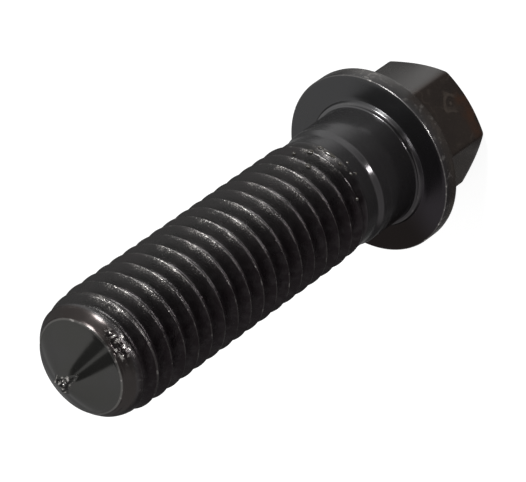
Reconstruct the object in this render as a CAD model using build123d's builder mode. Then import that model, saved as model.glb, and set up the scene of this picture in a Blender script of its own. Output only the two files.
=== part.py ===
from build123d import *
import os
from math import radians, tan

# Drum mounting bolt: a flange bolt, forged and thread-rolled as one piece of steel.
# Sizes are in millimetres. The bolt stands on its hex head with the thread upwards.
# The origin is the centre of the head's outer face, and +Z runs along the axis to the point.
# Each height is measured upwards from the bearing side of the flange.

# Thread: half inch coarse, thirteen turns to the inch, right hand
thread_diameter = 12.7
pitch = 1.9538
flank_angle = 60.0             # included angle of the groove
crest_flat = 0.125             # top of the ridge, as a share of the pitch
root_flat = 0.2                # bottom of the groove, as a share of the pitch
thread_start_angle = -54.0     # direction in which a crest would cross the bearing side
thread_fade_length = 1.5       # along which the last ridge loses its height
core_ramp_length = 0.9         # along which the bottom of the groove rises to the neck

# Point and end chamfer
rim_height = 43.87             # rim between the end chamfer and the cone point
rim_diameter = 9.8
point_angle = 118.0            # included angle of the cone point
point_flat_diameter = 1.0      # blunted tip
end_chamfer_share = 0.62       # of the step from the rim to the full thread; the lead taper takes the rest
end_chamfer_angle = 45.0       # from the axis
lead_taper_length = 2.9        # first turns, rolled to less than their full height

# Neck and shank
shank_diameter = 12.56
shank_height = 4.47            # top of the plain shank
swell_length = 2.68            # from the shank down to the neck's diameter
swell_turn_share = 0.31        # of that length, up to where the curve turns from full to hollow
neck_diameter = 12.1
neck_length = 0.95             # from the swell to where the last ridge has sunk into the neck

# Raised ring that the shank stands on
ring_height = 0.45
ring_top_width = 0.345         # from the shank to the ring's upper edge
ring_foot_width = 0.545        # from the shank to the ring's foot
ring_round_share = 0.46        # rounding of the upper edge, as a share of the top's width
ring_fillet_share = 0.58       # fillet between the shank and the ring, as a share of the same

# Flange
flange_diameter = 19.05
flange_rim_height = 1.9
flange_rim_round = 0.4         # on the head side of the rim
bearing_edge = 0.12            # break around the bearing side
flange_slope = 17.0            # of the head side, in degrees

# Hex head
head_height = 10.6             # from the bearing side to the outer face
across_flats = 12.4
hex_corner_round = 0.45
head_face_diameter = 11.6      # flat circle inside the chamfer
head_chamfer_angle = 30.0

# Worked out from the sizes above
flank_slope = tan(radians(flank_angle / 2))
thread_radius = thread_diameter / 2
thread_depth = pitch * (1 - crest_flat - root_flat) / 2 / flank_slope
core_radius = thread_radius - thread_depth
neck_radius = neck_diameter / 2
shank_radius = shank_diameter / 2
ring_top_radius = shank_radius + ring_top_width
ring_foot_radius = shank_radius + ring_foot_width
flange_radius = flange_diameter / 2
rim_radius = rim_diameter / 2
chamfer_radius = rim_radius + end_chamfer_share * (thread_radius - rim_radius)
chamfer_length = (chamfer_radius - rim_radius) / tan(radians(end_chamfer_angle))
point_flat_radius = point_flat_diameter / 2
point_height = (rim_radius - point_flat_radius) / tan(radians(point_angle / 2))
bearing_z = head_height
shank_z = bearing_z + shank_height
neck_z = shank_z + swell_length
thread_end_z = neck_z + neck_length
skipped_turns = int((thread_end_z - bearing_z) / pitch) - 1    # the ridge starts a turn or two below its end
rim_z = bearing_z + rim_height
chamfer_z = rim_z - chamfer_length
tip_z = rim_z + point_height

# Overlaps where one shape runs into another
ridge_seat = 0.15              # foot of the ridge below the bottom of the groove
ramp_seat = 0.05               # end of the ramp below the bottom of the groove
margin = 0.5                   # by which a shape that is cut away is larger than what it cuts
edge_tolerance = 0.001         # within which an edge's radius and height are matched


def round_edges(part, radius, z):
    """The circular edges of the part that have this radius and height."""
    return (
        part.edges()
        .filter_by(GeomType.CIRCLE)
        .filter_by(lambda edge: abs(edge.radius - radius) < edge_tolerance)
        .filter_by(lambda edge: abs(edge.arc_center.Z - z) < edge_tolerance)
    )


# Threaded end: a core with one helical ridge, then cut back cone by cone
with BuildPart() as thread:
    with BuildSketch(Plane.XY.offset(neck_z)):
        Circle(core_radius)
    extrude(amount=tip_z + margin - neck_z)

    ridge_foot_z = bearing_z + pitch * (skipped_turns - thread_start_angle / 360)
    with BuildLine() as helix:
        Helix(pitch, rim_z + pitch / 2 - ridge_foot_z, thread_radius, center=(0, 0, ridge_foot_z))
    with BuildSketch(Plane.XZ):
        half_crest = pitch * crest_flat / 2
        half_foot = half_crest + (thread_depth + ridge_seat) * flank_slope
        foot_radius = core_radius - ridge_seat
        with Locations((0, ridge_foot_z)):
            Polygon(
                (foot_radius, -half_foot),
                (thread_radius, -half_crest),
                (thread_radius, half_crest),
                (foot_radius, half_foot),
                align=None,
            )
    sweep(path=helix.wires()[0], is_frenet=True)

    # Cone of the lead taper, which lowers the first turns
    clear_radius = thread_radius + margin
    clear_z = tip_z + pitch
    lead_rise = lead_taper_length / (thread_radius - chamfer_radius)
    lead_inner = core_radius - margin
    with BuildSketch(Plane.XZ):
        Polygon(
            (lead_inner, chamfer_z + (chamfer_radius - lead_inner) * lead_rise),
            (clear_radius, chamfer_z + (chamfer_radius - clear_radius) * lead_rise),
            (clear_radius, chamfer_z + (chamfer_radius - lead_inner) * lead_rise),
            align=None,
        )
    revolve(axis=Axis.Z, mode=Mode.SUBTRACT)

    # Cone of the end chamfer
    chamfer_rise = 1 / tan(radians(end_chamfer_angle))
    with BuildSketch(Plane.XZ):
        Polygon(
            (rim_radius - margin, rim_z + margin * chamfer_rise),
            (clear_radius, rim_z + (rim_radius - clear_radius) * chamfer_rise),
            (clear_radius, clear_z),
            (rim_radius - margin, clear_z),
            align=None,
        )
    revolve(axis=Axis.Z, mode=Mode.SUBTRACT)

    # Cone point with its blunted tip
    point_rise = 1 / tan(radians(point_angle / 2))
    with BuildSketch(Plane.XZ):
        Polygon(
            (0, tip_z),
            (point_flat_radius, tip_z),
            (clear_radius, rim_z + (rim_radius - clear_radius) * point_rise),
            (clear_radius, clear_z),
            (0, clear_z),
            align=None,
        )
    revolve(axis=Axis.Z, mode=Mode.SUBTRACT)

    # Cone along which the last ridge sinks into the neck
    fade_rise = thread_fade_length / (thread_radius - neck_radius)
    fade_inner = neck_radius - margin
    with BuildSketch(Plane.XZ):
        Polygon(
            (fade_inner, thread_end_z - margin * fade_rise),
            (clear_radius, thread_end_z + (clear_radius - neck_radius) * fade_rise),
            (clear_radius, thread_end_z - margin * fade_rise),
            align=None,
        )
    revolve(axis=Axis.Z, mode=Mode.SUBTRACT)

# Hex of the head, with its chamfered outer face
with BuildPart() as hex_head:
    with BuildSketch():
        RegularPolygon(across_flats / 2, 6, major_radius=False, rotation=30)
        fillet(vertices(), hex_corner_round)
    extrude(amount=bearing_z - flange_rim_height)
    with BuildSketch(Plane.XZ):
        face_radius = head_face_diameter / 2
        clear_radius = across_flats
        chamfer_top = (clear_radius - face_radius) * tan(radians(head_chamfer_angle))
        with BuildLine():
            Polyline(
                (0, 0),
                (face_radius, 0),
                (clear_radius, chamfer_top),
                (clear_radius, bearing_z),
                (0, bearing_z),
                close=True,
            )
        make_face()
    revolve(axis=Axis.Z, mode=Mode.INTERSECT)

# Turned section from the flange to the end of the thread, joined to the hex and the threaded end
with BuildPart() as bolt:
    ring_z = bearing_z + ring_height
    rim_lower_z = bearing_z - flange_rim_height
    cone_foot_z = rim_lower_z - flange_radius * tan(radians(flange_slope))
    turn_radius = shank_radius - swell_turn_share * (shank_radius - neck_radius)
    turn = (turn_radius, shank_z + swell_turn_share * swell_length)
    core_top_z = thread_end_z + core_ramp_length
    with BuildSketch(Plane.XZ):
        with BuildLine():
            Polyline(
                (0, cone_foot_z),
                (flange_radius, rim_lower_z),
                (flange_radius, bearing_z - bearing_edge),
                (flange_radius - bearing_edge, bearing_z),
                (ring_foot_radius, bearing_z),
                (ring_top_radius, ring_z),
                (shank_radius, ring_z),
                (shank_radius, shank_z),
            )
            full_part = TangentArc((shank_radius, shank_z), turn, tangent=(0, 1))
            TangentArc(turn, (neck_radius, neck_z), tangent=full_part % 1)
            Polyline(
                (neck_radius, neck_z),
                (neck_radius, thread_end_z),
                (core_radius - ramp_seat, core_top_z),
                (0, core_top_z),
                (0, cone_foot_z),
            )
        make_face()
    revolve(axis=Axis.Z)
    fillet(round_edges(bolt.part, flange_radius, rim_lower_z), flange_rim_round)
    fillet(round_edges(bolt.part, ring_top_radius, ring_z), ring_round_share * ring_top_width)
    fillet(round_edges(bolt.part, shank_radius, ring_z), ring_fillet_share * ring_top_width)
    add(hex_head.part)
    add(thread.part)

bolt.part.label = "bolt"

os.makedirs("parts", exist_ok=True)
export_step(bolt.part, "parts/bolt.step")
print("solids", len(bolt.part.solids()), "volume", round(bolt.part.volume, 1), "faces", len(bolt.part.faces()))
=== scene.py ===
from math import atan2, cos, degrees, pi, radians, sin, sqrt, tan

import bmesh
import bpy
from mathutils import Matrix, Vector, noise


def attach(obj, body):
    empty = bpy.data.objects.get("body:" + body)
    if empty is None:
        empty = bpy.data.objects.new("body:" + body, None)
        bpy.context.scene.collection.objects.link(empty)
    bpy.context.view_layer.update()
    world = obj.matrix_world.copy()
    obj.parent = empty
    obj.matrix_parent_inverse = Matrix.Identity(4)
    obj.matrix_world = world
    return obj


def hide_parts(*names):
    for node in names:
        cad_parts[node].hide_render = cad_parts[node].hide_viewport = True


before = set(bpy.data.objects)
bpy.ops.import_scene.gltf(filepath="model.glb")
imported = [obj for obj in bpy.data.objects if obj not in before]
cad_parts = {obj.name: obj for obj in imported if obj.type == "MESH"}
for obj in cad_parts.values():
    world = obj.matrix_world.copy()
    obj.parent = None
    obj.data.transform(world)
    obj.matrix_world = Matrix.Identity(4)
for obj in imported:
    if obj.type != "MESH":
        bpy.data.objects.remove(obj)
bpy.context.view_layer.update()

# Sizes of the bolt in metres. It stands on its hex head at z = 0, with the thread upwards.
MM = 0.001
PITCH = 1.9538 * MM
THREAD_RADIUS = 6.35 * MM
FLANK_SLOPE = tan(radians(30))
CREST_FLAT = 0.125 * PITCH
ROOT_FLAT = 0.2 * PITCH
CORE_RADIUS = THREAD_RADIUS - (PITCH - CREST_FLAT - ROOT_FLAT) / 2 / FLANK_SLOPE
THREAD_START = radians(-54)        # direction in which a crest would cross the bearing side
BEARING = 10.6 * MM                # bearing side of the flange
RIM = BEARING + 43.87 * MM         # rim between the end chamfer and the cone point
RIM_RADIUS = 4.9 * MM
CHAMFER_RADIUS = RIM_RADIUS + 0.62 * (THREAD_RADIUS - RIM_RADIUS)
CHAMFER_FOOT = RIM - (CHAMFER_RADIUS - RIM_RADIUS)
LEAD_TAPER = 2.9 * MM              # first turns, of less than full height
TIP_RADIUS = 0.5 * MM
TIP = RIM + (RIM_RADIUS - TIP_RADIUS) / tan(radians(118 / 2))
NECK_RADIUS = 6.05 * MM
SHANK_RADIUS = 6.28 * MM
SHANK_TOP = BEARING + 4.47 * MM
NECK_START = SHANK_TOP + 2.68 * MM
THREAD_END = NECK_START + 0.95 * MM
FADE = 1.5 * MM                    # along which the last ridge sinks into the neck
CORE_RAMP = 0.9 * MM               # along which the bottom of the groove rises to the neck
RING_TOP = BEARING + 0.45 * MM
RING_TOP_RADIUS = 6.625 * MM
RING_FOOT_RADIUS = 6.825 * MM
FLANGE_RADIUS = 9.525 * MM
FLANGE_RIM_FOOT = BEARING - 1.9 * MM
FLANGE_SLOPE = tan(radians(17))
HALF_FLATS = 6.2 * MM
CORNER_ROUND = 0.45 * MM
FACE_RADIUS = 5.8 * MM             # flat of the head's outer face
HEAD_CHAMFER = tan(radians(30))

# How the mesh is divided and joined
STEPS = 120                        # steps in one turn round the axis
STEP_ANGLE = 2 * pi / STEPS
WELD = 0.002 * MM                  # vertices closer together than this are joined
NECK_SEAM = THREAD_END - 0.2 * MM  # where the thread is joined to the neck
RIM_SEAM = RIM - 0.1 * MM          # where the thread is joined to the point
RIM_SEAM_RADIUS = RIM_RADIUS + 0.1 * MM

# Softness and wear of the thread
ROOT_ROUND = 0.1 * MM
CREST_ROUND = 0.05 * MM
LEAD_ROUND = 0.25 * MM             # between the lead taper and the end chamfer
UNEVENNESS = 0.02 * MM
SCUFF_DEPTH = 0.05 * MM
CHIP_DEPTH = 0.09 * MM

# The pinched point, and the three-sided stub left where its tip broke off
PINCH = Vector((-0.15, 0.69)) * MM
DOME_HEIGHT = 2.25 * MM
STUB = Vector((-0.05, 0.92)) * MM
STUB_TOP = TIP - 0.32 * MM
STUB_SIDES = [Vector((1.2, -1.36)), Vector((0.77, 1.7)), Vector((-2.08, 0.17))]

# Knocks near the point: direction and half its spread in degrees,
# then height above the bearing side and half its spread in millimetres
CHIPS = [(-117, 19, 43.25, 0.42), (-120, 9, 42.4, 0.35), (-87, 12, 41.1, 0.18)]

# Beads of oil in millimetres: where they lie, and their size round, along and out of the bolt
DROPS = [
    ((3.18, -4.87, 20.78), 0.425, 0.375, 0.375), ((-0.89, -5.76, 18.93), 0.425, 0.325, 0.325),
    ((-1.28, -5.91, 18.29), 0.325, 0.3, 0.2), ((-2.29, -5.49, 18.80), 0.375, 0.3, 0.25),
    ((-2.55, -5.48, 18.32), 0.3, 0.275, 0.175), ((-4.37, -4.53, 20.00), 0.35, 0.375, 0.3),
    ((0.64, -6.24, 22.32), 0.625, 0.575, 0.375), ((1.84, -6.01, 20.42), 0.6875, 0.625, 0.4),
    ((0.60, -5.90, 18.84), 1.625, 0.45, 0.25), ((1.70, -5.74, 18.78), 0.875, 0.375, 0.2),
]

# Directions: level towards the viewer of the photograph, level to the left of it, and up
NEAR = Vector((-0.3971, -0.9178, 0))
LEFT = Vector((0.9178, -0.3971, 0))
UP = Vector((0, 0, 1))
# The side with scuffs, where bare specks and a painted sheen lighten the crests
SCUFF_AND_SHEEN_SIDE = NEAR * 0.875 + LEFT * 0.485

# Marks on the hex
RUST = Vector((-4.2, -4.8, 0.9)) * MM          # middle of the rusty edge
DRIED_DROP = Vector((-2.40, -5.77, 2.6)) * MM  # middle of the ring that a drop left as it dried
DROP_RING = 0.9 * MM                           # radius of that ring

# Colours of the finish, some of them painted light or shade as marked. Where there are two, clouds mix
# them.
BARE_STEEL = (0.42, 0.40, 0.38, 1)
PIT = (0.010, 0.009, 0.009, 1)
CONE_GREYS = (0.049, 0.048, 0.049, 1), (0.043, 0.043, 0.038, 1)
CHAMFER_GREYS = (0.024, 0.022, 0.022, 1), (0.034, 0.028, 0.026, 1)
THREAD_GREYS = (0.026, 0.027, 0.026, 1), (0.033, 0.030, 0.0305, 1)
# Painted shade: the darker right side of the thread
THREAD_SHADED_RIGHT = (0.0085, 0.0062, 0.0072, 1)
THREAD_MOTTLE = (0.036, 0.033, 0.034, 1)
# Painted light on the neck's left, painted shade on its right
NECK_LIT_LEFT = (0.096, 0.096, 0.097, 1)
NECK_SHADED_RIGHT = (0.031, 0.029, 0.030, 1)
NECK_CLOUD = (0.037, 0.035, 0.037, 1)
# Painted light on the flange's left, painted shade on its right and back
FLANGE_LIT_LEFT = (0.047, 0.047, 0.048, 1)
FLANGE_SHADED_RIGHT = (0.021, 0.018, 0.021, 1)
FLANGE_SHADED_BACK = (0.009, 0.0065, 0.006, 1)
# Painted light and shade on the hex faces; their brown tint is the finish's own
HEAD_SHADED_BROWNS = (0.036, 0.030, 0.028, 1), (0.050, 0.039, 0.033, 1)
HEAD_LIT_FAR_BROWN = (0.062, 0.052, 0.046, 1)
HEAD_LIT_GREY = (0.090, 0.087, 0.085, 1)
STAIN = (0.095, 0.078, 0.066, 1)
RUST_BROWN = (0.070, 0.038, 0.026, 1)
OIL_BROWNS = (0.010, 0.009, 0.008, 1), (0.030, 0.027, 0.022, 1)


def polyline(bm, points):
    """A chain of vertices and edges in the XZ plane, from (radius, height) pairs."""
    verts = [bm.verts.new((radius, 0, height)) for radius, height in points]
    for a, b in zip(verts, verts[1:]):
        bm.edges.new((a, b))
    return verts


def round_corner(bm, vert, size):
    bmesh.ops.bevel(bm, geom=[vert], offset=size, offset_type="OFFSET", segments=3,
                    profile=0.5, affect="VERTICES", material=-1)


def divide(bm, longest):
    """Cuts the straight edges of a section into lengths of no more than this."""
    for edge in bm.edges[:]:
        cuts = int(edge.calc_length() / longest)
        if cuts:
            bmesh.ops.subdivide_edges(bm, edges=[edge], cuts=cuts)


def verts_in(geometry):
    return [g for g in geometry if isinstance(g, bmesh.types.BMVert)]


def soft_min(a, b, blend):
    """The smaller of the two, with a rounded change from one to the other."""
    return (a + b - sqrt((a - b) ** 2 + blend ** 2)) / 2


def smooth_step(value, start, end):
    """0 up to the start, 1 from the end on and a soft change between; the end may be the lower."""
    share = min(max((value - start) / (end - start), 0), 1)
    return share * share * (3 - 2 * share)


def lumps(place, size):
    """Unevenness with lumps of about this size: above 0 on the humps and below it in the hollows."""
    return noise.noise(place / size)


def outline_radius(z):
    """Radius that the lead taper, the end chamfer and the fade into the neck leave at this height."""
    chamfer = RIM_RADIUS + (RIM - z)
    lead = CHAMFER_RADIUS + (CHAMFER_FOOT - z) * (THREAD_RADIUS - CHAMFER_RADIUS) / LEAD_TAPER
    fade = NECK_RADIUS + max(0, z - THREAD_END) * (THREAD_RADIUS - NECK_RADIUS) / FADE
    return min(soft_min(chamfer, lead, LEAD_ROUND), fade)


def crest_radius(z):
    """Radius of the ridge's crest at this height."""
    return soft_min(THREAD_RADIUS, outline_radius(z), CREST_ROUND)


def groove_floor(z):
    """Radius of the bottom of the groove, which rises to the neck at the thread's end."""
    share = (z - THREAD_END) / CORE_RAMP
    return NECK_RADIUS + (CORE_RADIUS - NECK_RADIUS) * min(max(share, 0), 1)


def groove_share(co):
    """How deep the rolling has gone here: 1 along the thread, and 0 before the first groove starts."""
    turns = (co.z - BEARING) / PITCH - (atan2(co.y, co.x) - THREAD_START) / (2 * pi)
    from_crest = (turns - round(turns)) * PITCH
    to_groove = PITCH / 2 - from_crest if from_crest > 0 else -PITCH / 2 - from_crest
    return 1 - smooth_step(RIM - co.z - to_groove, 1.75 * MM, 0.75 * MM)


def set_radius(vert, radius):
    now = vert.co.xy.length
    vert.co.x *= radius / now
    vert.co.y *= radius / now


def end_loop(bm, z):
    return [v for v in bm.verts if abs(v.co.z - z) < 0.001 * MM]


def square_up_loop(bm, z):
    """Leaves one vertex for each step on the loop at this height."""
    regular = {}
    extra = []
    for vert in end_loop(bm, z):
        steps = atan2(vert.co.y, vert.co.x) / STEP_ANGLE
        nearest = round(steps)
        if abs(steps - nearest) < 0.001:
            regular[nearest % STEPS] = vert
        else:
            extra.append((vert, nearest % STEPS))
    bmesh.ops.weld_verts(bm, targetmap={vert: regular[nearest] for vert, nearest in extra})


def cut_across(bm, z, drop_below=False, drop_above=False):
    """Cuts the whole mesh level at this height, and can drop what is on one side."""
    bmesh.ops.bisect_plane(bm, geom=bm.verts[:] + bm.edges[:] + bm.faces[:], dist=1e-9,
                           plane_co=(0, 0, z), plane_no=UP,
                           clear_inner=drop_below, clear_outer=drop_above)


def ridge_radius(away):
    """Radius of the rolled thread this far from a crest: a rounded ridge with straight flanks."""
    half_crest = CREST_FLAT / 2
    ridge = THREAD_RADIUS - (sqrt(away ** 2 + half_crest ** 2) - half_crest) / FLANK_SLOPE
    return -soft_min(-ridge, -CORE_RADIUS, ROOT_ROUND)


def rolled_turns(first_crest, turns):
    """A helical ridge, which starts this many pitches above the bearing side."""
    bm = bmesh.new()
    crest = BEARING + first_crest * PITCH
    above = [share * PITCH / 2 for share in (0.05, 0.1, 0.165, 0.25, 0.37, 0.51, 0.65, 0.75, 0.84, 1)]
    below = [-away for away in reversed(above)]
    polyline(bm, [(ridge_radius(away), crest + away) for away in below + [0] + above])
    to_start = Matrix.Rotation(THREAD_START, 3, "Z")
    bmesh.ops.rotate(bm, verts=bm.verts[:], cent=(0, 0, 0), matrix=to_start)
    bmesh.ops.spin(bm, geom=bm.verts[:] + bm.edges[:], cent=(0, 0, 0), axis=UP,
                   dvec=(0, 0, PITCH / STEPS), angle=2 * pi, steps=STEPS,
                   use_merge=False, use_duplicate=False)
    turn = bm.verts[:] + bm.edges[:] + bm.faces[:]
    for index in range(1, turns):
        copy = bmesh.ops.duplicate(bm, geom=turn)["geom"]
        bmesh.ops.translate(bm, verts=verts_in(copy), vec=(0, 0, index * PITCH))
    bmesh.ops.remove_doubles(bm, verts=bm.verts[:], dist=WELD)
    return bm


def threaded_length():
    """The rolled thread from the neck to the end chamfer."""
    bm = rolled_turns(3, 21)
    cut_across(bm, NECK_SEAM, drop_below=True)
    square_up_loop(bm, NECK_SEAM)
    cut_across(bm, RIM_SEAM, drop_above=True)
    square_up_loop(bm, RIM_SEAM)
    for share in (0, 0.33, 0.66, 1):
        cut_across(bm, THREAD_END + CORE_RAMP * share)
    for share in (0, 0.15, 0.3, 0.45, 0.6, 0.7, 0.8, 0.9):
        cut_across(bm, CHAMFER_FOOT + (RIM_SEAM - CHAMFER_FOOT) * share)
    for vert in bm.verts:
        z = vert.co.z
        limit = outline_radius(z)
        radius = max(vert.co.xy.length, groove_floor(z))
        if z <= THREAD_END:
            radius = NECK_RADIUS
        else:
            if z > RIM - 2 * PITCH and radius < limit:
                radius = limit + (radius - limit) * groove_share(vert.co)
            radius = soft_min(radius, limit, CREST_ROUND)
            radius -= scuff_and_sheen_amount(vert.co) * SCUFF_DEPTH * max(0, lumps(vert.co, 0.5 * MM))
            radius -= UNEVENNESS * max(0, lumps(vert.co, 1.1 * MM))
            radius -= chip_amount(vert.co) * CHIP_DEPTH * max(0, 0.6 + lumps(vert.co, 0.3 * MM) * 1.6)
        set_radius(vert, radius)
    for z, radius in ((NECK_SEAM, NECK_RADIUS), (RIM_SEAM, RIM_SEAM_RADIUS)):
        for vert in end_loop(bm, z):
            set_radius(vert, radius)
    return bm


def turned(points, rounds, longest):
    """A turned surface from (radius, height) pairs, with some corners rounded."""
    bm = bmesh.new()
    corners = polyline(bm, points)
    for index, size in rounds.items():
        round_corner(bm, corners[index], size)
    divide(bm, longest)
    bmesh.ops.spin(bm, geom=bm.verts[:] + bm.edges[:], cent=(0, 0, 0), axis=UP,
                   angle=2 * pi, steps=STEPS, use_merge=True, use_duplicate=False)
    return bm


def share_of_way(middle, place, radius):
    """0 at the middle, 1 on the circle of this radius, and even steps on each straight line between."""
    out = place - middle
    if out.length < 1e-9:
        return 0.0
    lean = middle.dot(out)
    room = out.length_squared * (radius ** 2 - middle.length_squared)
    reach = (-lean + sqrt(lean ** 2 + room)) / out.length_squared
    return 1 / reach


def from_stub(place):
    """How far a place lies from the middle of the stub: 1 on each of its three sides."""
    return max(side.dot((place - STUB) / MM) for side in STUB_SIDES)


def cone_point():
    """The point: a raised lip at its rim, a dome pinched off its middle, and the rough stub on it."""
    bm = turned(
        [(RIM_SEAM_RADIUS, RIM_SEAM), (RIM_RADIUS, RIM + 0.05 * MM),
         (RIM_RADIUS - 0.09 * MM, RIM + 0.085 * MM), (RIM_RADIUS - 0.22 * MM, RIM + 0.12 * MM),
         (TIP_RADIUS, TIP), (0.04 * MM, TIP)],
        {1: 0.04 * MM, 4: 0.1 * MM}, 0.12 * MM)
    inner = [v for v in bm.verts if v.co.xy.length < 0.05 * MM]
    bmesh.ops.pointmerge(bm, verts=inner, merge_co=(0, 0, TIP))
    for vert in bm.verts:
        dome = RIM + DOME_HEIGHT * (1 - share_of_way(PINCH, vert.co.xy, RIM_RADIUS) ** 1.3)
        height = dome if vert.co.z > RIM + 0.2 * MM else vert.co.z
        on_stub = smooth_step(from_stub(vert.co.xy), 1.5, 0.9)
        rough = lumps(vert.co, 0.5 * MM) * 0.3 + lumps(vert.co, 0.2 * MM) * 0.16
        height += (STUB_TOP + rough * MM - height) * on_stub
        vert.co.z = min(height, TIP)
    return bm


def shank_and_flange():
    """Neck, a shallow hollow and two soft steps before the shank, the raised ring and the flange."""
    step_radius = NECK_RADIUS + 0.215 * MM
    slope_radius = 7.6 * MM
    points = [
        (NECK_RADIUS, NECK_SEAM),
        (NECK_RADIUS, NECK_START - 0.15 * MM),
        (NECK_RADIUS - 0.07 * MM, NECK_START - 0.76 * MM),
        (NECK_RADIUS + 0.21 * MM, NECK_START - 1.38 * MM),
        (step_radius, NECK_START - 1.9 * MM),
        (step_radius, SHANK_TOP + 0.1 * MM),
        (SHANK_RADIUS, SHANK_TOP - 0.02 * MM),
        (SHANK_RADIUS, RING_TOP),
        (RING_TOP_RADIUS, RING_TOP),
        (RING_FOOT_RADIUS, BEARING),
        (FLANGE_RADIUS, BEARING),
        (FLANGE_RADIUS, FLANGE_RIM_FOOT),
        (slope_radius, FLANGE_RIM_FOOT - (FLANGE_RADIUS - slope_radius) * FLANGE_SLOPE),
    ]
    rounds = {2: 0.17 * MM, 3: 0.1 * MM, 4: 0.1 * MM, 5: 0.05 * MM, 6: 0.06 * MM,
              7: 0.17 * MM, 8: 0.16 * MM, 9: 0.06 * MM, 10: 0.12 * MM, 11: 0.35 * MM}
    return turned(points, rounds, 0.5 * MM)


def hex_radius(offset):
    """Radius of the hex outline at this angle from its nearest corner, with the corner rounded."""
    corner_centre = (HALF_FLATS - CORNER_ROUND) / cos(pi / 6)
    reach = atan2(CORNER_ROUND / 2, corner_centre + CORNER_ROUND * cos(pi / 6))
    if offset < reach:
        aside = corner_centre * sin(offset)
        return corner_centre * cos(offset) + sqrt(CORNER_ROUND ** 2 - aside ** 2)
    return HALF_FLATS / cos(pi / 6 - offset)


def hex_head(bm):
    """Carries the flange's head side on to the hex, its chamfer and its outer face."""
    # Degrees from a corner, for each step from it, so that the rounded corner gets steps of its own
    spread = [0, 0.9, 1.83, 3.5, 6.5, 10, 14, 18, 22, 26, 30]
    sixth = STEPS // 6
    step_of = bm.verts.layers.int.new("step")

    def outline(vert):
        """Angle and radius of the hex where this vertex's step meets it."""
        away = vert[step_of] % sixth - sixth // 2
        offset = radians(spread[abs(away)])
        corner = (vert[step_of] - away) * STEP_ANGLE
        return corner + (offset if away > 0 else -offset), hex_radius(offset)

    def ring(edges, radius_of, height_of):
        """The next loop of the head; its radius and height follow from the hex's own radius."""
        made = bmesh.ops.extrude_edge_only(bm, edges=edges)["geom"]
        verts = set(verts_in(made))
        for vert in verts:
            angle, reach = outline(vert)
            radius = radius_of(reach)
            vert.co = (radius * cos(angle), radius * sin(angle), height_of(reach))
        return [g for g in made if isinstance(g, bmesh.types.BMEdge) and set(g.verts) <= verts]

    def cone(radius):
        return FLANGE_RIM_FOOT - (FLANGE_RADIUS - radius) * FLANGE_SLOPE

    def chamfer(radius):
        return (radius - FACE_RADIUS) * HEAD_CHAMFER

    edges = [e for e in bm.edges if e.is_boundary and e.verts[0].co.z < BEARING]
    for vert in {v for e in edges for v in e.verts}:
        vert[step_of] = round(atan2(vert.co.y, vert.co.x) / STEP_ANGLE) % STEPS

    # Fillet under the flange, in millimetres: growth of the outline, and height below the cone there
    fillet_drop = 0.32
    for grow, drop in ((0.35, 0), (0.2, 0.03), (0.09, 0.1), (0.025, 0.2), (0, fillet_drop)):
        edges = ring(edges, lambda r: r + grow * MM, lambda r: cone(r + grow * MM) - drop * MM)

    # Flat sides, down to just above the chamfer
    side_rings = 10
    for index in range(1, side_rings + 1):
        share = index / side_rings
        edges = ring(edges, lambda r: r,
                     lambda r: ((cone(r) - fillet_drop * MM) * (1 - share)
                                + (chamfer(r) + 0.1 * MM) * share))

    # Chamfer, with a softened edge
    edges = ring(edges, lambda r: r - 0.02 * MM, lambda r: chamfer(r) + 0.03 * MM)
    edges = ring(edges, lambda r: r - 0.08 * MM, lambda r: chamfer(r - 0.08 * MM))
    edges = ring(edges, lambda r: (r + FACE_RADIUS) / 2, lambda r: chamfer((r + FACE_RADIUS) / 2))

    # Outer face in millimetres, closed at its middle
    face_rings = ((5.86, 0.03), (5.8, 0.01), (5.72, 0), (4.6, 0), (3.2, 0), (1.8, 0), (0.6, 0))
    for radius, height in face_rings:
        edges = ring(edges, lambda r: radius * MM, lambda r: height * MM)
    last = bmesh.ops.extrude_edge_only(bm, edges=edges)["geom"]
    bmesh.ops.pointmerge(bm, verts=verts_in(last), merge_co=(0, 0, 0))


def worn_amount(co):
    """How thin rubbing has made the black finish: 1 along the flange's edge, less on rims and crests."""
    radius, z = co.xy.length, co.z
    edge = 0.1 * MM
    if THREAD_END + 0.3 * MM < z < CHAMFER_FOOT + edge:
        if radius < crest_radius(z) - 0.015 * MM:
            return 0.0
        return 0.3 if THREAD_END + FADE < z < CHAMFER_FOOT - LEAD_TAPER / 2 else 0.1
    if RIM < z < RIM + edge and radius > RIM_RADIUS - edge:
        return 0.8
    if radius > FLANGE_RADIUS - edge:
        return 1.0 if abs(z - BEARING) < edge else 0.32
    if abs(radius - RING_TOP_RADIUS) < edge and abs(z - RING_TOP) < edge:
        return 0.12
    return 0.0


def chip_amount(co):
    """1 in the middle of the places near the point that were knocked, and nearly as much on the stub."""
    direction = degrees(atan2(co.y, co.x))
    height = (co.z - BEARING) / MM
    most = 0.0
    for middle, half_width, level, half_height in CHIPS:
        away = sqrt(((direction - middle) / half_width) ** 2 + ((height - level) / half_height) ** 2)
        most = max(most, smooth_step(away, 1.3, 0.6))
    if co.z > RIM + 0.3 * MM:
        most = max(most, 0.85 * smooth_step(from_stub(co.xy), 1.6, 1.1))
    return most


def scuff_and_sheen_amount(co):
    """1 on the crests of the side with scuffs and painted sheen, and less down the flanks and round the
    bolt.
    """
    if not THREAD_END < co.z < CHAMFER_FOOT - 0.4 * MM:
        return 0.0
    round_side = co.xy.normalized().dot(SCUFF_AND_SHEEN_SIDE.xy)
    below_crest = crest_radius(co.z) - co.xy.length
    return smooth_step(round_side, 0.86, 0.97) * smooth_step(below_crest, 0.65 * MM, 0.1 * MM)


def smooth_mesh(bm, name):
    """The finished mesh, with its faces turned outwards and shaded smooth."""
    bmesh.ops.recalc_face_normals(bm, faces=bm.faces[:])
    for face in bm.faces:
        face.smooth = True
    mesh = bpy.data.meshes.new(name)
    bm.to_mesh(mesh)
    bm.free()
    return mesh


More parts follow.
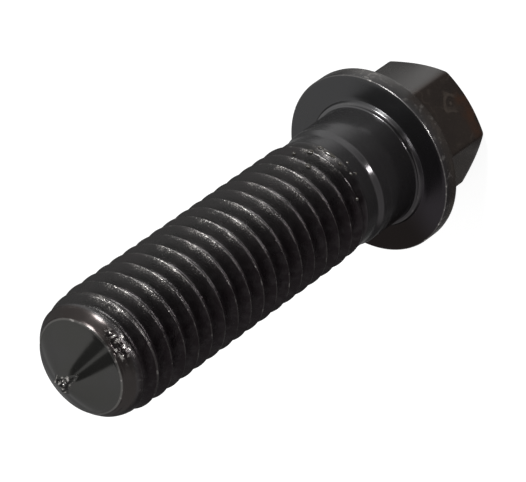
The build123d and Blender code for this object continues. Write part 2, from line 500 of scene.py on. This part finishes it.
def bolt_mesh():
    """The whole bolt as one closed mesh, with its wear and the side of painted sheen as attributes."""
    head = shank_and_flange()
    hex_head(head)
    bm = bmesh.new()
    for part in (threaded_length(), cone_point(), head):
        mesh = bpy.data.meshes.new("part")
        part.to_mesh(mesh)
        part.free()
        bm.from_mesh(mesh)
        bpy.data.meshes.remove(mesh)
    bmesh.ops.remove_doubles(bm, verts=bm.verts[:], dist=WELD)
    for name, amount in (("worn", worn_amount), ("chipped", chip_amount), ("scuffed_with_sheen", scuff_and_sheen_amount)):
        layer = bm.verts.layers.float.new(name)
        for vert in bm.verts:
            vert[layer] = amount(vert.co)
    mesh = smooth_mesh(bm, "forged_bolt")
    mesh.set_sharp_from_angle(angle=radians(38))
    return mesh


def oil_drop(bm, place, wide, tall, thick):
    """A closed bead of oil, half sunk in the surface; its sizes run round, along and out of the bolt."""
    made = bmesh.ops.create_icosphere(bm, subdivisions=3, radius=0.5)["verts"]
    middle = Vector(place) * MM
    radius, angle = middle.xy.length, atan2(middle.y, middle.x)
    for vert in made:
        swell = (1 + 0.25 * noise.noise(vert.co * 1.7 + middle / MM)) * MM
        out = radius + vert.co.x * swell * thick
        turn = angle + vert.co.y * swell * wide / radius
        vert.co = (out * cos(turn), out * sin(turn), middle.z + vert.co.z * swell * tall)


def oil_drops():
    """Beads of oil that hang about the last turns of the thread."""
    bm = bmesh.new()
    for place, wide, tall, thick in DROPS:
        oil_drop(bm, place, wide, tall, thick)
    return smooth_mesh(bm, "oil_drops")


def node(tree, kind, links=(), **settings):
    """A shader node with some settings; links gives its inputs a value or another node's output."""
    made = tree.nodes.new(kind)
    for name, value in settings.items():
        setattr(made, name, value)
    for name, value in dict(links).items():
        if isinstance(value, bpy.types.NodeSocket):
            tree.links.new(value, made.inputs[name])
        else:
            made.inputs[name].default_value = value
    return made


def new_finish(name):
    """A material with its node tree and its shader."""
    material = bpy.data.materials.new(name)
    material.use_nodes = True
    return material, material.node_tree, material.node_tree.nodes["Principled BSDF"]


def object_place(tree):
    return node(tree, "ShaderNodeTexCoord").outputs["Object"]


def amount_of(tree, attribute):
    return node(tree, "ShaderNodeAttribute", attribute_name=attribute).outputs["Fac"]


def speckle(tree, where, scale, detail=4.0):
    found = node(tree, "ShaderNodeTexNoise",
                 {"Vector": where, "Scale": scale, "Detail": detail, "Roughness": 0.6})
    return found.outputs["Fac"]


def between(tree, value, start, end, at_start=0.0, at_end=1.0):
    """A soft change from one amount at the start to another at the end, which may be the lower."""
    found = node(tree, "ShaderNodeMapRange",
                 {"Value": value, "From Min": start, "From Max": end,
                  "To Min": at_start, "To Max": at_end},
                 interpolation_type="SMOOTHSTEP")
    return found.outputs["Result"]


def combine(tree, operation, *values):
    return node(tree, "ShaderNodeMath", enumerate(values), operation=operation).outputs[0]


def times(tree, a, b):
    return combine(tree, "MULTIPLY", a, b)


def plus(tree, a, b):
    return combine(tree, "ADD", a, b)


def minus(tree, a, b):
    return combine(tree, "SUBTRACT", a, b)


def larger(tree, a, b):
    return combine(tree, "MAXIMUM", a, b)


def unsigned(tree, value):
    return combine(tree, "ABSOLUTE", value)


def combine_vectors(tree, operation, *vectors):
    return node(tree, "ShaderNodeVectorMath", enumerate(vectors), operation=operation).outputs


def along(tree, vector, axis):
    """How far a vector reaches along an axis."""
    return combine_vectors(tree, "DOT_PRODUCT", vector, axis)["Value"]


def distance(tree, where, place):
    return combine_vectors(tree, "DISTANCE", where, place)["Value"]


def mix_colour(tree, share, a, b):
    found = node(tree, "ShaderNodeMix", {"Factor": share, "A": a, "B": b}, data_type="RGBA")
    return found.outputs["Result"]


def thread_colour(tree, where, clouds):
    """Matt grey, mottled all round, with painted shade that darkens the right side."""
    # Painted shade towards the right side
    shaded_right = between(tree, along(tree, where, LEFT), 5 * MM, -3 * MM)
    grey = mix_colour(tree, shaded_right, mix_colour(tree, clouds, *THREAD_GREYS), THREAD_SHADED_RIGHT)
    mottled = times(tree, between(tree, speckle(tree, where, 1300), 0.42, 0.66), 0.22)
    return mix_colour(tree, mottled, grey, THREAD_MOTTLE)


def neck_colour(tree, where, clouds):
    """Lighter on the left and darker on the right: painted light and painted shade."""
    to_right = between(tree, along(tree, where, LEFT), 6.5 * MM, -1 * MM)
    grey = mix_colour(tree, to_right, NECK_LIT_LEFT, NECK_SHADED_RIGHT)
    return mix_colour(tree, times(tree, clouds, 0.5), grey, NECK_CLOUD)


def flange_colour(tree, where):
    """Painted light and shade: lighter on the left, darker on the right, and nearly black towards the
    back.
    """
    to_back = between(tree, along(tree, where, NEAR), 4 * MM, -1 * MM)
    dark_side = mix_colour(tree, to_back, FLANGE_SHADED_RIGHT, FLANGE_SHADED_BACK)
    to_right = between(tree, along(tree, where, LEFT), 5 * MM, -7 * MM)
    return mix_colour(tree, to_right, FLANGE_LIT_LEFT, dark_side)


def stains(tree, where, clouds, other_faces):
    """Faint tide lines on the brown faces, and the broken ring with a spot in it where a drop dried."""
    from_line = unsigned(tree, minus(tree, speckle(tree, where, 330, 1.5), 0.5))
    lines = times(tree, between(tree, from_line, 0.02, 0.004), other_faces)
    lines = times(tree, lines, between(tree, clouds, 0.42, 0.6, 0.0, 0.375))
    from_drop = distance(tree, where, DRIED_DROP)
    waves = times(tree, minus(tree, speckle(tree, where, 420, 1.5), 0.5), 3.2 * MM)
    from_ring = unsigned(tree, minus(tree, plus(tree, from_drop, waves), DROP_RING))
    patchy = between(tree, speckle(tree, where, 700, 2.0), 0.36, 0.6, 0.1, 1.0)
    ring = times(tree, between(tree, from_ring, 0.34 * MM, 0.04 * MM, 0.0, 0.8), patchy)
    spot = between(tree, from_drop, 0.25 * MM, 0.08 * MM, 0.0, 0.8)
    return larger(tree, larger(tree, lines, ring), spot)


def head_colour(tree, where, height, clouds):
    """Grey on the left faces and brown on the others, with stains and a rusty edge. The faces' brightness
    is painted light and shade: the left faces and those turned away lighter, the rest darker; the brown
    tint is the finish's own.
    """
    turned_away = between(tree, along(tree, where, NEAR), 5 * MM, 2 * MM)
    brown = mix_colour(tree, turned_away, mix_colour(tree, clouds, *HEAD_SHADED_BROWNS), HEAD_LIT_FAR_BROWN)
    other_faces = between(tree, along(tree, where, LEFT), 3.6 * MM, 2.6 * MM)
    head = mix_colour(tree, other_faces, HEAD_LIT_GREY, brown)
    head = mix_colour(tree, stains(tree, where, clouds, other_faces), head, STAIN)
    rusty = times(tree, between(tree, distance(tree, where, RUST), 3.2 * MM, 2.0 * MM),
                  between(tree, height, 2.6 * MM, 1.1 * MM))
    rusty = times(tree, rusty, between(tree, speckle(tree, where, 800), 0.3, 0.6))
    return mix_colour(tree, rusty, head, RUST_BROWN)


def bare_metal(tree, where, chipped, flecks):
    """Where the finish is off: specks on rubbed edges, flakes at the knocks, and bare specks on the
    scuffs under a faint painted sheen.
    """
    sparse = between(tree, speckle(tree, where, 1500), 0.56, 0.68)
    rubbed = times(tree, amount_of(tree, "worn"), plus(tree, times(tree, sparse, 0.7), 0.14))
    flaked = times(tree, chipped, between(tree, flecks, 0.54, 0.64))
    scuffed_with_sheen = amount_of(tree, "scuffed_with_sheen")
    patches = times(tree, minus(tree, speckle(tree, where, 700, 2.0), 0.5), 0.55)
    scuff_sheen_field = plus(tree, speckle(tree, where, 7600, 3.0), patches)
    scuff_sheen_field = plus(tree, scuff_sheen_field, times(tree, scuffed_with_sheen, 0.12))
    # Painted sheen: a faint lighter haze over the scuffs, with bare specks in it
    sheen_haze = between(tree, scuff_sheen_field, 0.45, 0.75, 0.0, 0.06)
    specks = between(tree, scuff_sheen_field, 0.67, 0.77, 0.0, 0.42)
    dust_and_sheen = times(tree, plus(tree, sheen_haze, specks), between(tree, scuffed_with_sheen, 0.0, 0.8))
    return larger(tree, larger(tree, rubbed, flaked), dust_and_sheen)


def black_oxide():
    """Black oxide on steel under a film of oil, worn to bright metal on the crests and edges."""
    material, tree, shader = new_finish("black_oxide_steel")
    where = object_place(tree)
    height = node(tree, "ShaderNodeSeparateXYZ", {"Vector": where}).outputs["Z"]
    clouds = speckle(tree, where, 260)
    flecks = speckle(tree, where, 2600)
    chipped = amount_of(tree, "chipped")

    # 1 on each part of the bolt, with a soft change to the next
    on_flange = between(tree, height, BEARING + 0.5 * MM, BEARING)
    on_head = between(tree, height, BEARING, BEARING - 1.5 * MM)
    on_neck = times(tree, between(tree, height, THREAD_END, THREAD_END - 0.6 * MM),
                    between(tree, height, BEARING, BEARING + 0.4 * MM))
    on_thread = times(tree, between(tree, height, THREAD_END - 0.3 * MM, THREAD_END + 0.3 * MM),
                      between(tree, height, CHAMFER_FOOT, CHAMFER_FOOT - 0.6 * MM))
    wet = times(tree, on_thread, between(tree, height, THREAD_END + 2.6 * MM, THREAD_END + 1.0 * MM))
    on_chamfer = between(tree, height, CHAMFER_FOOT - 0.3 * MM, CHAMFER_FOOT)
    on_cone = between(tree, height, RIM - 0.05 * MM, RIM + 0.05 * MM)

    finish = mix_colour(tree, on_flange, neck_colour(tree, where, clouds), flange_colour(tree, where))
    finish = mix_colour(tree, on_thread, finish, thread_colour(tree, where, clouds))
    finish = mix_colour(tree, on_head, finish, head_colour(tree, where, height, clouds))
    finish = mix_colour(tree, on_chamfer, finish, mix_colour(tree, clouds, *CHAMFER_GREYS))
    finish = mix_colour(tree, on_cone, finish, mix_colour(tree, clouds, *CONE_GREYS))
    pits = times(tree, chipped, between(tree, flecks, 0.54, 0.44))
    finish = mix_colour(tree, pits, finish, PIT)
    finish = mix_colour(tree, bare_metal(tree, where, chipped, flecks), finish, BARE_STEEL)
    tree.links.new(finish, shader.inputs["Base Color"])

    rough = between(tree, clouds, 0.3, 0.7, 0.2, 0.28)
    for part, smoother in ((on_cone, 0.15), (on_thread, -0.05), (on_neck, 0.07), (wet, 0.09)):
        rough = minus(tree, rough, times(tree, part, smoother))
    tree.links.new(rough, shader.inputs["Roughness"])

    gritty = plus(tree, minus(tree, times(tree, on_thread, 0.98), times(tree, wet, 0.75)), 0.02)
    grit = times(tree, speckle(tree, where, 8000, 2.0), larger(tree, gritty, chipped))
    bump = node(tree, "ShaderNodeBump", {"Height": grit, "Strength": 1.0, "Distance": 0.04 * MM})
    tree.links.new(bump.outputs["Normal"], shader.inputs["Normal"])

    shader.inputs["Metallic"].default_value = 0.85
    shader.inputs["IOR"].default_value = 1.5
    shader.inputs["Specular Tint"].default_value = (0.5, 0.5, 0.5, 1)
    return material


def oil():
    """Dark machine oil, smooth and a little cloudy."""
    material, tree, shader = new_finish("machine_oil")
    clouds = speckle(tree, object_place(tree), 900)
    tree.links.new(mix_colour(tree, clouds, *OIL_BROWNS), shader.inputs["Base Color"])
    tree.links.new(between(tree, clouds, 0.3, 0.7, 0.05, 0.12), shader.inputs["Roughness"])
    shader.inputs["IOR"].default_value = 1.47
    return material


def studio_brightness(tree, direction):
    """What gloss shows of the studio: white walls, dimmer towards the viewer and to the right of there,
    and a dark gap from overhead down to the viewer's side, with a thin light strip along its middle."""
    near = along(tree, direction, NEAR)
    left = along(tree, direction, LEFT)
    wall = between(tree, near, -0.7, -0.9, 0.95, 0.9)
    near_right = times(tree, between(tree, near, 0.3, 0.55), between(tree, left, -0.2, -0.45))
    wall = minus(tree, wall, times(tree, near_right, 0.7))
    wall = times(tree, wall, between(tree, near, 0.7, 0.9, 1.0, 0.45))
    aside = unsigned(tree, plus(tree, left, 0.01))
    gap = times(tree, between(tree, aside, 0.3, 0.24), between(tree, near, -0.4, -0.25))
    strip = between(tree, aside, 0.06, 0.02, 0.0, 0.8)
    return plus(tree, times(tree, minus(tree, 1.0, gap), wall), times(tree, gap, strip))


def floor_brightness(tree, where):
    """What gloss shows of the floor: white, but dim with painted shadow close to the bolt's near side,
    and behind it.
    """
    from_hex = combine_vectors(tree, "SUBTRACT", where, NEAR * 5 * MM)["Vector"]
    heading = combine_vectors(tree, "NORMALIZE", from_hex)["Vector"]
    away = combine_vectors(tree, "LENGTH", from_hex)["Value"]
    ahead = along(tree, heading, NEAR * 0.906 - LEFT * 0.423)
    # Painted shadow on the floor near the bolt, and painted shade behind it
    front = times(tree, between(tree, ahead, -0.5, 0.4, 0.0, 0.8), between(tree, away, 0.058, 0.02))
    back = along(tree, heading, NEAR)
    behind = times(tree, between(tree, back, -0.1, -0.45, 0.0, 0.7), between(tree, away, 0.6, 0.1))
    return minus(tree, 0.95, larger(tree, front, behind))


def ray_kinds(tree):
    """1 for what the camera sees, and 1 for what gloss and glass show."""
    path = node(tree, "ShaderNodeLightPath").outputs
    return path["Is Camera Ray"], larger(tree, path["Is Glossy Ray"], path["Is Transmission Ray"])


def studio_world():
    """White to the camera, the studio to gloss, and an even fill light for the rest."""
    world = bpy.data.worlds.new("studio")
    world.use_nodes = True
    tree = world.node_tree
    direction = node(tree, "ShaderNodeTexCoord").outputs["Generated"]
    camera_ray, gloss_ray = ray_kinds(tree)
    shown = times(tree, gloss_ray, studio_brightness(tree, direction))
    fill = times(tree, minus(tree, 1.0, gloss_ray), 0.6)
    background = tree.nodes["Background"].inputs
    tree.links.new(larger(tree, camera_ray, plus(tree, shown, fill)), background["Strength"])
    background["Color"].default_value = (1, 1, 1, 1)
    bpy.context.scene.world = world


def studio_floor():
    """A pale round floor that keeps the bolt's shadow."""
    bm = bmesh.new()
    bmesh.ops.create_circle(bm, cap_ends=True, segments=64, radius=3.0)
    mesh = bpy.data.meshes.new("floor")
    bm.to_mesh(mesh)
    bm.free()
    material, tree, shader = new_finish("pale_floor")
    tree.nodes.remove(shader)
    camera_ray, gloss_ray = ray_kinds(tree)
    shown = times(tree, gloss_ray, floor_brightness(tree, object_place(tree)))
    glow = plus(tree, times(tree, camera_ray, 0.86), shown)
    shine = node(tree, "ShaderNodeEmission", {"Strength": glow})
    seen = mix_colour(tree, camera_ray, (0.8, 0.8, 0.8, 1), (0.25, 0.25, 0.25, 1))
    matt = node(tree, "ShaderNodeBsdfDiffuse", {"Color": mix_colour(tree, gloss_ray, seen, (0, 0, 0, 1))})
    both = node(tree, "ShaderNodeAddShader", {0: matt.outputs[0], 1: shine.outputs[0]})
    tree.links.new(both.outputs[0], tree.nodes["Material Output"].inputs["Surface"])
    floor_piece = add_piece("floor", mesh, material)


def soft_lamp(name, direction, size, watts):
    """A round lamp, half a metre from the middle of the bolt and turned towards it."""
    lamp = bpy.data.lights.new(name, "AREA")
    lamp.shape = "DISK"
    lamp.size = size
    lamp.energy = watts
    lamp_object = bpy.data.objects.new(name, lamp)
    middle = Vector((0, 0, 0.03))
    lamp_object.location = middle + direction.normalized() * 0.5
    lamp_object.rotation_euler = (-direction).to_track_quat("-Z", "Y").to_euler()
    bpy.context.scene.collection.objects.link(lamp_object)


def camera():
    """The photograph's view: above the bolt, near its point, and rolled."""
    lens = bpy.data.cameras.new("camera")
    lens.sensor_width = 36
    lens.lens = 259.27
    lens.clip_start = 0.01
    viewer = bpy.data.objects.new("camera", lens)
    place = Vector((-0.108218, -0.249381, 0.266751))
    right = Vector((-0.74532, -0.26406, -0.61218))
    up = Vector((0.59628, -0.67476, -0.43491))
    turn = Matrix((right, up, right.cross(up))).transposed()
    viewer.matrix_world = Matrix.Translation(place) @ turn.to_4x4()
    bpy.context.scene.collection.objects.link(viewer)
    bpy.context.scene.camera = viewer


def add_piece(name, mesh, material):
    piece = bpy.data.objects.new(name, mesh)
    bpy.context.scene.collection.objects.link(piece)
    mesh.materials.append(material)
    return piece


bolt = add_piece("forged_bolt", bolt_mesh(), black_oxide())
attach(bolt, "root")
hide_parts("bolt")

drops = add_piece("oil_drops", oil_drops(), oil())
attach(drops, "root")

camera()
studio_world()
studio_floor()
soft_lamp("key", NEAR * 0.594 + LEFT * 0.715 + UP * 0.367, size=0.16, watts=4.0)
soft_lamp("front", NEAR * 0.985 - LEFT * 0.17 + UP * 0.05, size=0.1, watts=2.2)

bpy.context.scene.view_settings.view_transform = "Standard"
